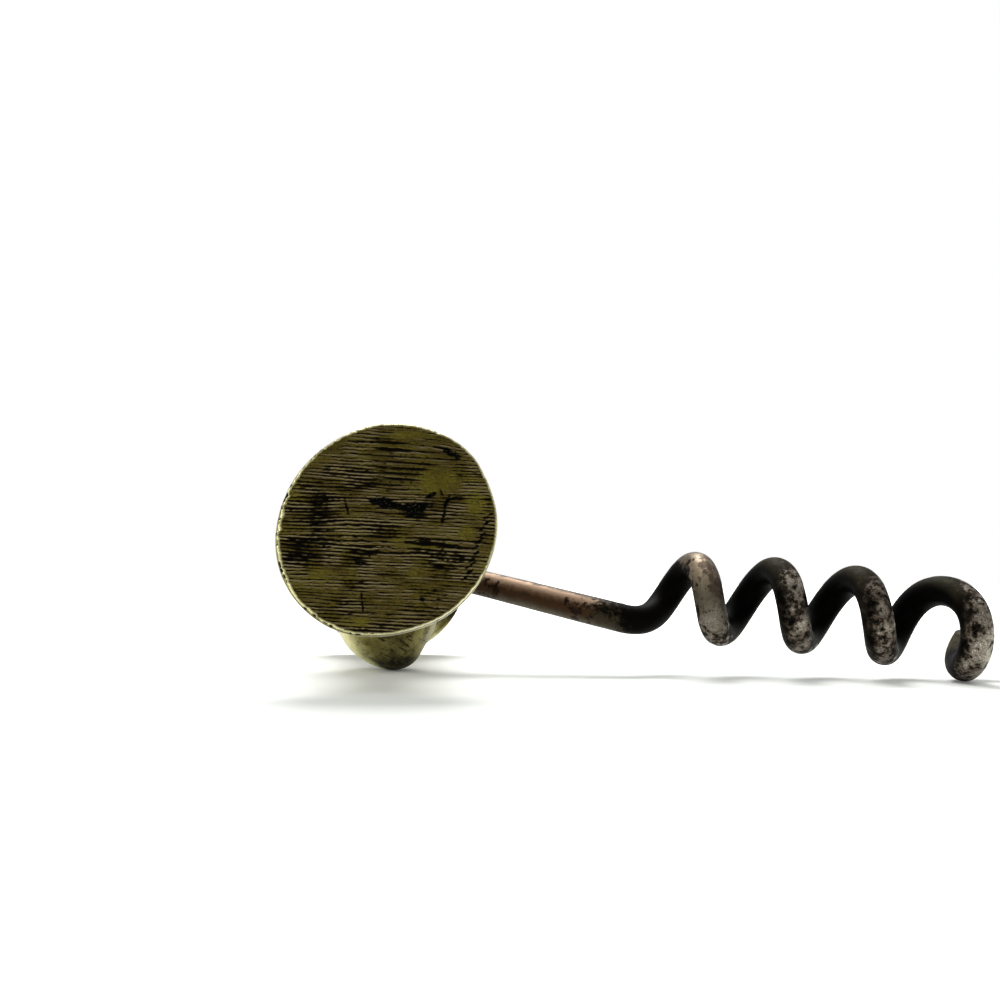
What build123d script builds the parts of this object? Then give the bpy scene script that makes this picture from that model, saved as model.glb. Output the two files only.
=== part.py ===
from build123d import *
import os
from math import ceil, cos, pi, radians, sin, sqrt, tan

# Direct-pull corkscrew: a brass T-handle with two flared grips, and a worm of one piece of steel wire.
# It is modelled about the hub's centre, with X towards the worm, Y along the handle and Z along the hub,
# and then laid on the table as it rests: on the hub's foot, the far rim and the worm's last turn.
# Lengths are in millimetres and angles in degrees.

# Handle
handle_length = 48.4  # over both end plates
plate_long = 20.6  # end plates, and the rims that they are filed flush with: they are a little out of round
plate_flat = 1.4  # how much less they measure the short way
plate_turn = 45.0  # the long way, from the worm's side towards the hub's top
plate_t = 0.9
plate_edge = 0.3  # chamfer round a plate's outer face
spigot_length = 0.8  # locating boss on a plate's back
rim_t = 1.5
rim_edge = 0.2  # chamfer on both edges of a rim
rim_lip = 0.55  # least width of the flat ring on a rim's inner face, outside the flare
neck_length = 5.0  # straight part of a neck, before it flares
hub_height = 24.5
hub_width = 13.9
hub_shoulder = 1.95  # the hub stands this far proud of the necks
neck_wall = 2.0  # round the bar
seat_bite = 0.1  # how far each seat is cut past the hub's own curve
parting_turn = 35.0  # parting line of the hub's casting, from the worm's side towards the far plate, clear of the seats
fit_gap = 0.05  # clearance all round a fitted pin, bar or shank

# Shank and what fixes it
tang_d = 2.8  # shank inside the hub
collar_d = 6.2
collar_t = 2.4
collar_edge = 0.6  # rounding of the collar's outer edge
rove_d = 6.0
rove_t = 1.0
head_d = 4.6  # peened end over the rove
head_h = 1.1
pin_d = 1.2

# Worm
wire_d = 3.2
worm_cant = 13.0  # lean of the worm's axis towards the near plate
worm_droop = 10.4  # lean of the worm's axis towards the hub's foot
shank_reach = 26.4  # along the worm's axis, from the hub's centre to the bend
shank_inset = 0.36  # the shank meets the coil this far inside its radius
bend_length = 6.8  # along the axis, from the bend to turn zero
coil_radius = 3.45  # to the middle of the wire
coil_pitch = 8.43
coil_first = -0.2  # turns are counted from the top of the first full one
coil_last = 3.81
lean_length = 0.4  # each turn's top leads its bottom by twice this, and the last turn's by twice that
coil_bow = 0.58  # rise of the coil's middle
end_turn = 2.6  # from here the coil opens towards its end
end_blend = 0.6  # turns over which it opens
end_spread = 0.21  # growth of the radius there
swing_length = 1.2  # swing of the last turn along the axis
point_angle = 50.0  # ground facet against the wire
point_roll = 80.0  # from the inside of the coil towards the handle
grind_room = 1.4  # the grinding cut against the wire that it takes away

# Sizes that follow from these
half_length = handle_length / 2
plate_short = plate_long - plate_flat
neck_d = hub_width - 2 * hub_shoulder
bar_d = neck_d - 2 * neck_wall
rim_start = half_length - plate_t - rim_t
bar_end = half_length - plate_t - spigot_length
neck_seat = sqrt((hub_width / 2) ** 2 - (neck_d / 2) ** 2) - seat_bite
collar_seat = sqrt((hub_width / 2) ** 2 - (collar_d / 2) ** 2) - seat_bite
rove_seat = sqrt((hub_width / 2) ** 2 - (rove_d / 2) ** 2) - seat_bite
rove_back = rove_seat + rove_t
pin_place = (bar_d / 2 + collar_seat) / 2  # midway between the bar and the collar's seat
tang_bore = tang_d / 2 + fit_gap
bar_bore = bar_d / 2 + fit_gap

# Frames of the worm and its shank
worm_axis = Vector(1, 0, 0).rotate(Axis.Y, worm_droop).rotate(Axis.Z, -worm_cant)
worm_up = (Vector(0, 0, 1) - worm_axis * worm_axis.Z).normalized()
worm_plane = Plane((0, 0, 0), x_dir=worm_up, z_dir=worm_axis)
bend_start = worm_plane.from_local_coords((shank_inset - coil_radius, 0, shank_reach))
shank_dir = bend_start.normalized()
pin_centre = shank_dir * pin_place
pin_plane = Plane((pin_centre.X, 0, pin_centre.Z), x_dir=(1, 0, 0), z_dir=(0, 1, 0))


def shank_plane(distance):
    """Plane square to the shank, this far from the hub's centre towards the worm."""
    return Plane(shank_dir * distance, x_dir=(0, 1, 0), z_dir=shank_dir)


def handle_plane(distance, side):
    """Plane square to the handle, facing its near (-1) or far (1) end."""
    return Plane((0, side * distance, 0), x_dir=(1, 0, 0), z_dir=(0, side, 0))


def plate_outline(side):
    """Outline of a plate and its rim, turned the same way at both ends of the handle."""
    return Ellipse(plate_long / 2, plate_short / 2, rotation=-side * plate_turn)


def make_plate(side):
    """End plate with a chamfered outer face and a locating boss on its back."""
    with BuildPart() as plate:
        with BuildSketch(handle_plane(half_length - plate_t, side)):
            plate_outline(side)
        extrude(amount=plate_t)
        outer_face = plate.faces().sort_by(Axis.Y)[0 if side < 0 else -1]
        chamfer(outer_face.edges(), plate_edge)
        with BuildSketch(handle_plane(half_length - plate_t, side)):
            Circle(bar_d / 2)
        extrude(amount=-spigot_length)
    return plate.part


def make_grip(side):
    """Grip in one piece: a neck that flares to the rim under the plate, bored for the bar."""
    neck_r = neck_d / 2
    with BuildPart() as grip:
        with BuildSketch(Plane.XY):
            with BuildLine():
                neck = Polyline(
                    (bar_bore, side * neck_seat),
                    (neck_r, side * neck_seat),
                    (neck_r, side * (neck_seat + neck_length)),
                )
                flare_end = (plate_short / 2 - rim_lip, side * rim_start)
                flare = TangentArc(neck @ 1, flare_end, tangent=(0, side, 0))
                Polyline(flare @ 1, (bar_bore, side * rim_start), neck @ 0)
            make_face()
        revolve(axis=Axis.Y)
        with BuildSketch(handle_plane(rim_start, side)):
            plate_outline(side)
            Circle(bar_bore, mode=Mode.SUBTRACT)
        extrude(amount=rim_t)
        chamfer(grip.edges().filter_by(GeomType.ELLIPSE), rim_edge)
    return grip.part


def late(turn):
    """Goes smoothly from 0 before the coil opens to 1 on its last turn."""
    share = min(max((turn - end_turn) / end_blend, 0), 1)
    return share * share * (3 - 2 * share)


def coil_point(turn):
    """Middle of the wire after this many turns."""
    angle = 2 * pi * turn
    radius = coil_radius + end_spread * late(turn)
    rise = 4 * coil_bow * (turn / coil_last) * (1 - turn / coil_last)
    advance = coil_pitch * turn + lean_length * cos(angle) * (1 + late(turn)) + swing_length * sin(angle) * late(turn)
    local = (radius * cos(angle) + rise, radius * sin(angle), shank_reach + bend_length + advance)
    return worm_plane.from_local_coords(local)


def coil_heading(turn, step=0.001):
    """Direction of the wire after this many turns."""
    return (coil_point(turn + step) - coil_point(turn - step)).normalized()


def biarc(start, start_dir, end, end_dir):
    """Two arcs in one smooth line from start to end, added to the wire's path."""
    chord = end - start
    both = chord.dot(start_dir + end_dir)
    apart = 2 * (1 - start_dir.dot(end_dir))
    reach = (sqrt(both**2 + apart * chord.dot(chord)) - both) / apart
    corner_1 = start + start_dir * reach
    corner_2 = end - end_dir * reach
    meeting = (corner_1 + corner_2) / 2
    return [
        TangentArc(start, meeting, tangent=start_dir),
        TangentArc(meeting, end, tangent=corner_2 - corner_1),
    ]


# Cross bar, which carries both grips through the hub
with BuildPart() as cross_bar:
    with BuildSketch(Plane.XZ):
        Circle(bar_d / 2)
    extrude(amount=bar_end, both=True)
    with BuildSketch(shank_plane(0)):
        Circle(tang_bore)
    extrude(amount=bar_d, both=True, mode=Mode.SUBTRACT)

# Hub, an egg-shaped boss cast in a two-part mould, with a bore and a seat for each piece that goes into it
with BuildPart() as hub:
    for half in (0, 180):
        with BuildSketch(Plane.XZ.rotated((0, 0, parting_turn + half))):
            with BuildLine():
                outline = EllipticalCenterArc((0, 0), hub_width / 2, hub_height / 2, -90, arc_size=180)
                Line(outline @ 1, outline @ 0)
            make_face()
        revolve(axis=Axis.Z, revolution_arc=180, clean=False)
    for end in (-1, 1):
        with BuildSketch(handle_plane(neck_seat, end)):
            Circle(neck_d / 2 + fit_gap)
        extrude(amount=hub_width, mode=Mode.SUBTRACT)
    with BuildSketch(Plane.XZ):
        Circle(bar_bore)
    extrude(amount=hub_width, both=True, mode=Mode.SUBTRACT)
    with BuildSketch(shank_plane(0)):
        Circle(tang_bore)
    extrude(amount=hub_width, both=True, mode=Mode.SUBTRACT)
    with BuildSketch(shank_plane(collar_seat)):
        Circle(collar_d / 2 + fit_gap)
    extrude(amount=hub_width, mode=Mode.SUBTRACT)
    with BuildSketch(shank_plane(-rove_seat)):
        Circle(rove_d / 2 + fit_gap)
    extrude(amount=-hub_width, mode=Mode.SUBTRACT)
    with BuildSketch(pin_plane):
        Circle(pin_d / 2 + fit_gap)
    extrude(amount=hub_width, both=True, mode=Mode.SUBTRACT)

# Collar that bears on the hub while the worm is pushed in
with BuildPart() as shank_collar:
    with BuildSketch(shank_plane(collar_seat)):
        Circle(collar_d / 2)
        Circle(tang_bore, mode=Mode.SUBTRACT)
    extrude(amount=collar_t)
    front = shank_collar.faces().sort_by(Axis((0, 0, 0), shank_dir))[-1]
    fillet(front.outer_wire().edges(), collar_edge)

# Rove, the washer at the back of the hub
with BuildPart() as shank_rove:
    with BuildSketch(shank_plane(-rove_seat)):
        Circle(rove_d / 2)
        Circle(tang_bore, mode=Mode.SUBTRACT)
    extrude(amount=-rove_t)

# Pin across the shank, held in the hub between the two necks
with BuildPart() as shank_pin:
    with BuildSketch(pin_plane):
        Circle(pin_d / 2)
    extrude(amount=neck_seat, both=True)

# Worm: peened head, tang, tapered shank, bend, coil and ground point, all of one wire
spans = ceil((coil_last - coil_first) * 4)  # of up to a quarter turn each
turns = [coil_first + (coil_last - coil_first) * index / spans for index in range(spans + 1)]
with BuildPart() as worm:
    with BuildSketch(Plane((0, 0, 0), x_dir=shank_dir, z_dir=shank_dir.cross(worm_up))):
        with BuildLine():
            head = TangentArc((-rove_back - head_h, 0), (-rove_back, head_d / 2), tangent=(0, 1))
            Polyline(
                head @ 1,
                (-rove_back, tang_d / 2),
                (collar_seat + collar_t, tang_d / 2),
                (bend_start.length, wire_d / 2),
                (bend_start.length, 0),
                head @ 0,
            )
        make_face()
    revolve(axis=Axis((0, 0, 0), shank_dir))
    with BuildLine() as wire_path:
        arcs = biarc(bend_start, shank_dir, coil_point(turns[0]), coil_heading(turns[0]))
        for before, after in zip(turns, turns[1:]):
            arcs += biarc(coil_point(before), coil_heading(before), coil_point(after), coil_heading(after))
    with BuildSketch(shank_plane(bend_start.length)):
        Circle(wire_d / 2)
    sweep(path=wire_path.wire())
    # The point is ground from the inside of the coil and from the handle's side
    point = coil_point(coil_last)
    point_dir = coil_heading(coil_last)
    inward = coil_point(coil_last - 0.5) - point
    inward = (inward - point_dir * inward.dot(point_dir)).normalized()
    ground = inward * cos(radians(point_roll)) + inward.cross(point_dir) * sin(radians(point_roll))
    lean = radians(point_angle)
    facet = Plane(
        point - point_dir * (wire_d / 2 / tan(lean)),
        x_dir=point_dir * cos(lean) - ground * sin(lean),
        z_dir=point_dir * sin(lean) + ground * cos(lean),
    )
    with BuildSketch(facet):
        Rectangle(grind_room * wire_d / sin(lean), grind_room * wire_d)
    extrude(amount=grind_room * wire_d * cos(lean), mode=Mode.SUBTRACT)
    # The shank is drilled for its pin
    with BuildSketch(pin_plane):
        Circle(pin_d / 2 + fit_gap)
    extrude(amount=tang_d, both=True, mode=Mode.SUBTRACT)

pieces = {
    "near_plate": make_plate(-1),
    "near_grip": make_grip(-1),
    "hub": hub.part,
    "cross_bar": cross_bar.part,
    "far_grip": make_grip(1),
    "far_plate": make_plate(1),
    "worm": worm.part,
    "shank_collar": shank_collar.part,
    "shank_rove": shank_rove.part,
    "shank_pin": shank_pin.part,
}

# Lay it on the table, with the handle along Y and the box's bottom centre at the origin
hub_foot = Vector(0, 0, -hub_height / 2)
plate_lean = radians(plate_turn)
foot_drop = sqrt((plate_long / 2 * sin(plate_lean)) ** 2 + (plate_short / 2 * cos(plate_lean)) ** 2)
foot_shift = (plate_long**2 - plate_short**2) / 4 * sin(plate_lean) * cos(plate_lean) / foot_drop
rim_foot = Vector(-foot_shift, half_length - plate_edge, -foot_drop)
last_turn = [coil_point(coil_last - step / 60) for step in range(60)]
worm_foot = min(last_turn, key=lambda place: place.Z) - Vector(0, 0, wire_d / 2)
table_up = (worm_foot - hub_foot).cross(rim_foot - hub_foot).normalized()
table = Plane(hub_foot, x_dir=Vector(0, 1, 0).cross(table_up), z_dir=table_up)
laid = {name: table.to_local_coords(piece) for name, piece in pieces.items()}
boxes = [piece.bounding_box() for piece in laid.values()]
low_x, high_x = min(box.min.X for box in boxes), max(box.max.X for box in boxes)
low_y, high_y = min(box.min.Y for box in boxes), max(box.max.Y for box in boxes)
low_z = min(box.min.Z for box in boxes)
to_origin = Location((-(low_x + high_x) / 2, -(low_y + high_y) / 2, -low_z))

os.makedirs("parts", exist_ok=True)
for name, piece in laid.items():
    placed = piece.moved(to_origin)
    placed.label = name
    export_step(placed, f"parts/{name}.step")

# Least gap between the wire and itself, and its tightest bend
samples = [turns[0] + (turns[-1] - turns[0]) * index / 400 for index in range(401)]
places = [(turn, coil_point(turn)) for turn in samples]
gap = min((b - a).length for s, a in places for t, b in places if t - s > 0.5) - wire_d
print(f"least gap of the wire to itself {gap:.2f} mm, tightest bend radius {min(a.radius for a in arcs):.2f} mm")
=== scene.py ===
from functools import partial
from math import cos, pi, radians, sin, sqrt, tan

import bmesh
import bpy
import numpy as np
from mathutils import Matrix, Vector


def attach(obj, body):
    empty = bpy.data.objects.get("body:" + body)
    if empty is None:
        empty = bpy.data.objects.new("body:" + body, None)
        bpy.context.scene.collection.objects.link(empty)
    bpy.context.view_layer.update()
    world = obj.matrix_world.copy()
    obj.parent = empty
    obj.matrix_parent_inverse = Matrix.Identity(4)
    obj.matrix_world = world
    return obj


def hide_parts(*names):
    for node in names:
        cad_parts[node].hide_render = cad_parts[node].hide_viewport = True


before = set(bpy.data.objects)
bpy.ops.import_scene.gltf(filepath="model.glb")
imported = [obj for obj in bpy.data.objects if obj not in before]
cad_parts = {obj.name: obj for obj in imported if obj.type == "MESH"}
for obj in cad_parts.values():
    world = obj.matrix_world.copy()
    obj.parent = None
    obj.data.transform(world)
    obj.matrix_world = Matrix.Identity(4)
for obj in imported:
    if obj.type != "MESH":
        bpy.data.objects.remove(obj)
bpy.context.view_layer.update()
scene = bpy.context.scene
millimetre = 0.001

# How the corkscrew lies. Its pieces are made in millimetres about the hub's centre, with X towards the worm,
# Y along the handle and Z along the hub, and are then laid on the table.
hub_centre = Vector((-27.2702, 0.0, 12.2045))
table_up = Vector((0.045555, -0.094117, 0.994518))
table_right = Vector((0, 1, 0)).cross(table_up).normalized()
handle_lie = Matrix((table_right, table_up.cross(table_right), table_up))
lay_down = Matrix.Scale(millimetre, 4) @ Matrix.Translation(hub_centre) @ handle_lie.to_4x4()

# Handle
half_length = 24.2
plate_long = 20.6
plate_short = 19.2
plate_turn = radians(45)
plate_t = 0.9
spigot_length = 0.8
rim_t = 1.5
rim_lip = 0.55
neck_r = 5.0
neck_seat = 4.727
neck_length = 5.0
bore_r = 3.05
bar_r = 3.0
hub_half_height = 12.25
hub_half_width = 6.95
fit_gap = 0.05
rim_start = half_length - plate_t - rim_t
rim_end = half_length - plate_t

# Shank and what fixes it
tang_r = 1.4
collar_r = 3.1
collar_t = 2.4
collar_seat = 6.12
rove_r = 3.0
rove_t = 1.0
rove_seat = 6.17
head_r = 2.3
head_h = 1.1
collar_end = collar_seat + collar_t
rove_end = rove_seat + rove_t

# Worm
wire_r = 1.6
worm_cant = radians(13.0)
worm_droop = radians(10.4)
shank_reach = 26.4
shank_inset = 0.36
bend_length = 6.8
bend_handle = 3.3
coil_radius = 3.45
coil_pitch = 8.43
coil_first = -0.2
coil_last = 3.81
lean_length = 0.4
coil_bow = 0.58
end_turn = 2.6
end_blend = 0.6
end_spread = 0.21
swing_length = 1.2
point_angle = radians(50)
point_roll = radians(80)

worm_axis = Matrix.Rotation(-worm_cant, 3, "Z") @ Matrix.Rotation(worm_droop, 3, "Y") @ Vector((1, 0, 0))
worm_up = (Vector((0, 0, 1)) - worm_axis * worm_axis.z).normalized()
worm_lie = Matrix((worm_up, worm_axis.cross(worm_up), worm_axis)).transposed()
bend_start = Vector((shank_inset - coil_radius, 0, shank_reach))
shank_dir = bend_start.normalized()
shank_turn = shank_dir.to_track_quat("Z", "Y").to_matrix()
shank_lie = worm_lie @ shank_turn


# Noise and smooth steps

def ease(share):
    """Eases a share in at 0 and out at 1."""
    return share * share * (3 - 2 * share)


def step(low, high, value):
    """Goes smoothly from 0 at low to 1 at high."""
    return ease(np.clip((value - low) / (high - low), 0, 1))


def drift(across, up, seed):
    """Smooth noise from -1 to 1 over a flat surface, one cell to a unit."""
    cells = 256
    table = np.random.default_rng(seed).uniform(-1, 1, (cells, cells))
    column, row = np.floor(across).astype(int), np.floor(up).astype(int)
    right, above = ease(across - column), ease(up - row)
    here, after = column % cells, (column + 1) % cells
    lower, upper = row % cells, (row + 1) % cells
    low = table[here, lower] * (1 - right) + table[after, lower] * right
    high = table[here, upper] * (1 - right) + table[after, upper] * right
    return low * (1 - above) + high * above


def drift_round(angle, length, row, seed):
    """Smooth noise from -1 to 1 round a rim, with cells of this length in degrees."""
    return drift(angle / length, np.full_like(angle, row), seed)


def lumps(places, size, seed):
    """Smooth noise from -1 to 1 in space, with cells of this size."""
    cells = 32
    table = np.random.default_rng(seed).uniform(-1, 1, (cells, cells, cells))
    cell = np.floor(places / size).astype(int)
    part = ease(places / size - cell)
    total = np.zeros(len(places))
    for corner in np.ndindex(2, 2, 2):
        weight = np.prod(np.where(corner, part, 1 - part), axis=1)
        i, j, k = ((cell + corner) % cells).T
        total += weight * table[i, j, k]
    return total


def turn_apart(angle, middle):
    """Angle from a middle one, the short way round, in degrees."""
    return (angle - middle + 180) % 360 - 180


def near_angle(angle, middle, width):
    """1 at a middle angle, falling softly towards 0 on both sides of it, in degrees."""
    return np.exp(-(turn_apart(angle, middle) / width) ** 2)


# Meshes

def new_piece(name, mesh, finish, slot, *replaced):
    """A finished piece: it rides on the one body and stands for its CAD nodes."""
    mesh.materials.clear()
    mesh.materials.append(finish)
    mesh.polygons.foreach_set("use_smooth", np.ones(len(mesh.polygons), bool))
    mesh.set_sharp_from_angle(angle=radians(55))
    piece = bpy.data.objects.new(name, mesh)
    scene.collection.objects.link(piece)
    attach(piece, "root")
    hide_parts(*replaced)
    return piece


def set_marks(mesh, marks):
    """Gives a mesh its marks, as numbers at its points."""
    for mark, values in marks.items():
        numbers = np.asarray(values, np.float32).ravel()
        mesh.attributes.new(mark, "FLOAT", "POINT").data.foreach_set("value", numbers)


def new_mesh(name, points, faces, lie=None, **marks):
    """A closed mesh with its faces outwards and its marks, laid on the table."""
    mesh = bpy.data.meshes.new(name)
    mesh.from_pydata(np.asarray(points).tolist(), [], faces)
    set_marks(mesh, marks)
    work = bmesh.new()
    work.from_mesh(mesh)
    bmesh.ops.recalc_face_normals(work, faces=work.faces)
    work.to_mesh(mesh)
    work.free()
    if lie is not None:
        mesh.transform(lie.to_4x4())
    mesh.transform(lay_down)
    return mesh


def ring_round_y(radius, angle, distance):
    """Points round Y at angles in degrees. The radius and the distance may change with the angle."""
    turn = np.radians(angle)
    along = np.broadcast_to(distance, turn.shape)
    return np.column_stack([radius * np.cos(turn), along, radius * np.sin(turn)])


def ring_round_z(radius, spokes, distance):
    """Evenly spaced points round Z."""
    turn = np.arange(spokes) * 2 * pi / spokes
    return np.column_stack([radius * np.cos(turn), radius * np.sin(turn), np.full(spokes, distance)])


def ring_faces(rings, spokes, first=0, closed=False):
    """Quads between rings of points that follow each other; closed joins the last ring to the first."""
    faces = []
    for ring in range(rings if closed else rings - 1):
        here = first + ring * spokes
        there = first + (ring + 1) % rings * spokes
        for spoke in range(spokes):
            after = (spoke + 1) % spokes
            faces.append((here + spoke, here + after, there + after, there + spoke))
    return faces


def rounded(corners, radius, steps=4):
    """A line through corners, each inner one rounded off."""
    line = [corners[0]]
    for before, corner, after in zip(corners, corners[1:], corners[2:]):
        before, corner, after = Vector(before), Vector(corner), Vector(after)
        cut = min(radius, (before - corner).length / 2.2, (after - corner).length / 2.2)
        start = corner + (before - corner).normalized() * cut
        end = corner + (after - corner).normalized() * cut
        for place in range(steps + 1):
            share = place / steps
            line.append(tuple(start * (1 - share) ** 2 + corner * 2 * share * (1 - share) + end * share**2))
    line.append(corners[-1])
    return line


# Node trees

def feed(tree, socket, value):
    """Links a number or socket to a socket, or sets the socket."""
    if isinstance(value, Number):
        value = value.socket
    if isinstance(value, bpy.types.NodeSocket):
        tree.links.new(value, socket)
    else:
        socket.default_value = value


def add_node(tree, kind, settings=None, **inputs):
    """A new node with its settings, and with its inputs fed."""
    node = tree.nodes.new(kind)
    for name, value in (settings or {}).items():
        setattr(node, name, value)
    for name, value in inputs.items():
        feed(tree, node.inputs[name.replace("_", " ")], value)
    return node


class Number:
    """A number in a node tree. Arithmetic on it adds Math nodes there."""

    def __init__(self, tree, socket):
        self.tree = tree
        self.socket = socket

    def math(self, operation, *others):
        node = add_node(self.tree, "ShaderNodeMath", {"operation": operation})
        for socket, value in zip(node.inputs, (self, *others)):
            feed(self.tree, socket, value)
        return Number(self.tree, node.outputs[0])

    def __add__(self, other):
        return self.math("ADD", other)

    def __sub__(self, other):
        return self.math("SUBTRACT", other)

    def __mul__(self, other):
        return self.math("MULTIPLY", other)

    def __truediv__(self, other):
        return self.math("DIVIDE", other)

    def step(self, low, high):
        """Goes smoothly from 0 at low to 1 at high."""
        node = add_node(
            self.tree, "ShaderNodeMapRange", {"interpolation_type": "SMOOTHSTEP"},
            Value=self, From_Min=low, From_Max=high,
        )
        return Number(self.tree, node.outputs["Result"])

    def band(self, start, full, fading, end):
        """Goes smoothly from 0 at start to 1 at full, and from 1 at fading to 0 at end."""
        return self.step(start, full) * self.step(end, fading)

    def flip(self):
        return self * -1 + 1


class Finish:
    """A material for one finish, built on one Principled surface."""

    def __init__(self, name):
        self.material = bpy.data.materials.new(name)
        self.material.use_nodes = True
        self.tree = self.material.node_tree
        self.tree.nodes.clear()
        self.surface = self.add("ShaderNodeBsdfPrincipled")
        self.add("ShaderNodeOutputMaterial", Surface=self.surface.outputs["BSDF"])
        self.place = self.add("ShaderNodeTexCoord").outputs["Object"]

    def add(self, kind, settings=None, **inputs):
        return add_node(self.tree, kind, settings, **inputs)

    def marks(self, *names):
        """Numbers that the piece's mesh carries at its points."""
        nodes = [self.add("ShaderNodeAttribute", {"attribute_name": name}) for name in names]
        return [Number(self.tree, node.outputs["Fac"]) for node in nodes]

    def grain(self, size, stretch=(1, 1, 1), turn=(0, 0, 0), detail=3.0, rough=0.55):
        """Noise with cells of this size in millimetres, stretched along the turned axes."""
        turned = self.add("ShaderNodeMapping", Vector=self.place, Rotation=turn)
        cells = [1 / (size * millimetre * longer) for longer in stretch]
        scaled = self.add("ShaderNodeMapping", Vector=turned.outputs[0], Scale=cells)
        noise = self.add(
            "ShaderNodeTexNoise", Vector=scaled.outputs[0], Scale=1.0, Detail=detail, Roughness=rough,
        )
        return Number(self.tree, noise.outputs["Fac"])

    def blend(self, share, first, second):
        """Colour that goes from the first to the second by a share."""
        node = self.add("ShaderNodeMix", {"data_type": "RGBA"})
        feed(self.tree, node.inputs[0], share)
        for socket, colour in ((node.inputs[6], first), (node.inputs[7], second)):
            feed(self.tree, socket, (*colour, 1) if isinstance(colour, tuple) else colour)
        return node.outputs[2]

    def set(self, **sockets):
        for name, value in sockets.items():
            feed(self.tree, self.surface.inputs[name.replace("_", " ")], value)

    def bump(self, height, depth):
        """Fine relief of this depth in millimetres."""
        node = self.add("ShaderNodeBump", Height=height, Distance=depth * millimetre, Strength=1.0)
        self.set(Normal=node.outputs["Normal"])


# Finishes

def filed_brass():
    """Hand-filed brass: dark patina in the grooves, olive between them, bare along the edge, with painted
    highlights where it gleams.
    """
    finish = Finish("filed_brass")
    groove, stain, bare, gleam, smooth = finish.marks("groove", "stain", "bare", "gleam", "smooth")
    speckle = finish.grain(0.16, detail=2.0)
    cloud = finish.grain(2.6)
    tone = (smooth * 0.7 + (cloud - 0.5) * 2.0 + 0.1).step(-0.2, 0.9)
    warm = finish.blend(tone, (0.077, 0.055, 0.0125), (0.156, 0.130, 0.018))
    worn = finish.blend(speckle.step(0.42, 0.72) * 0.7, warm, (0.032, 0.023, 0.006))
    # Painted highlight: the gleam mark lightens the strokes' lips and the sheen lines
    lit = finish.blend(gleam * 0.85, worn, (0.29, 0.232, 0.128))
    black = finish.blend(speckle.step(0.6, 0.72), (0.0010, 0.0010, 0.0008), (0.035, 0.036, 0.026))
    dark = finish.blend(stain, (0.0026, 0.0017, 0.0010), black)
    soiled = groove.math("MAXIMUM", stain)
    grime_and_shading = finish.blend(soiled, lit, dark)
    fresh = finish.blend(speckle.step(0.35, 0.7), (0.85, 0.82, 0.48), (0.62, 0.57, 0.26))
    # Painted highlight on the bare edge, low on the right
    fresh = finish.blend(gleam, fresh, (1.0, 0.98, 0.76))
    finish.set(
        Base_Color=finish.blend(bare, grime_and_shading, fresh),
        Metallic=(soiled * -0.88 + 0.9).math("MAXIMUM", bare),
        Roughness=(soiled * 0.25 + 0.4) - bare * 0.1 + (speckle - 0.5) * 0.2,
        Specular_IOR_Level=0.015,
    )
    finish.bump(speckle, 0.012)
    return finish.material


def cast_brass():
    """Cast brass, handled for years: olive patina with darker hollows and painted shade, and paler where it
    is worn or carries a painted highlight.
    """
    finish = Finish("cast_brass")
    hollow, worn, scored = finish.marks("hollow", "worn", "scored")
    cloud = finish.grain(4.5, detail=4.0)
    mottle = finish.grain(1.3, detail=5.0, rough=0.68)
    speckle = finish.grain(0.18, detail=2.0)
    scratch = finish.grain(0.17, stretch=(10, 8, 1), turn=(0, -0.45, 0), detail=1.5)
    scratched_part = (mottle + (cloud - 0.5) * 0.8 + scored * 0.16).step(0.52, 0.66)
    score = (scratch + scored * 0.03).step(0.53, 0.62) * scratched_part
    pitted = mottle.step(0.46, 0.68)
    # Darker where grime sits in recesses, and where painted shade lies under the hub's foot and by the far
    # rim
    grime_and_shade_share = (hollow + (mottle - 0.5) * 0.9).step(0.25, 0.85)
    tone = finish.blend(cloud.step(0.34, 0.66), (0.125, 0.103, 0.029), (0.24, 0.212, 0.072))
    dull = finish.blend(pitted * 0.8, tone, (0.040, 0.030, 0.009))
    scratched = finish.blend(score * 0.9, dull, (0.010, 0.0075, 0.0035))
    deep = finish.blend(grime_and_shade_share * 0.9, scratched, (0.010, 0.008, 0.004))
    # Paler where worn, and on the hub's flanks, where it is a painted highlight
    finish.set(
        Base_Color=finish.blend((worn + (mottle - 0.5) * -0.6).step(0.3, 0.9), deep, (0.66, 0.63, 0.33)),
        Metallic=hollow * -0.4 + 0.9,
        Roughness=hollow * 0.2 + (speckle - 0.5) * 0.25 + 0.42 - worn * 0.1,
        Specular_IOR_Level=0.1,
    )
    finish.bump(speckle * 0.6 - score * 0.6 - pitted * 0.3, 0.025)
    return finish.material


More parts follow.
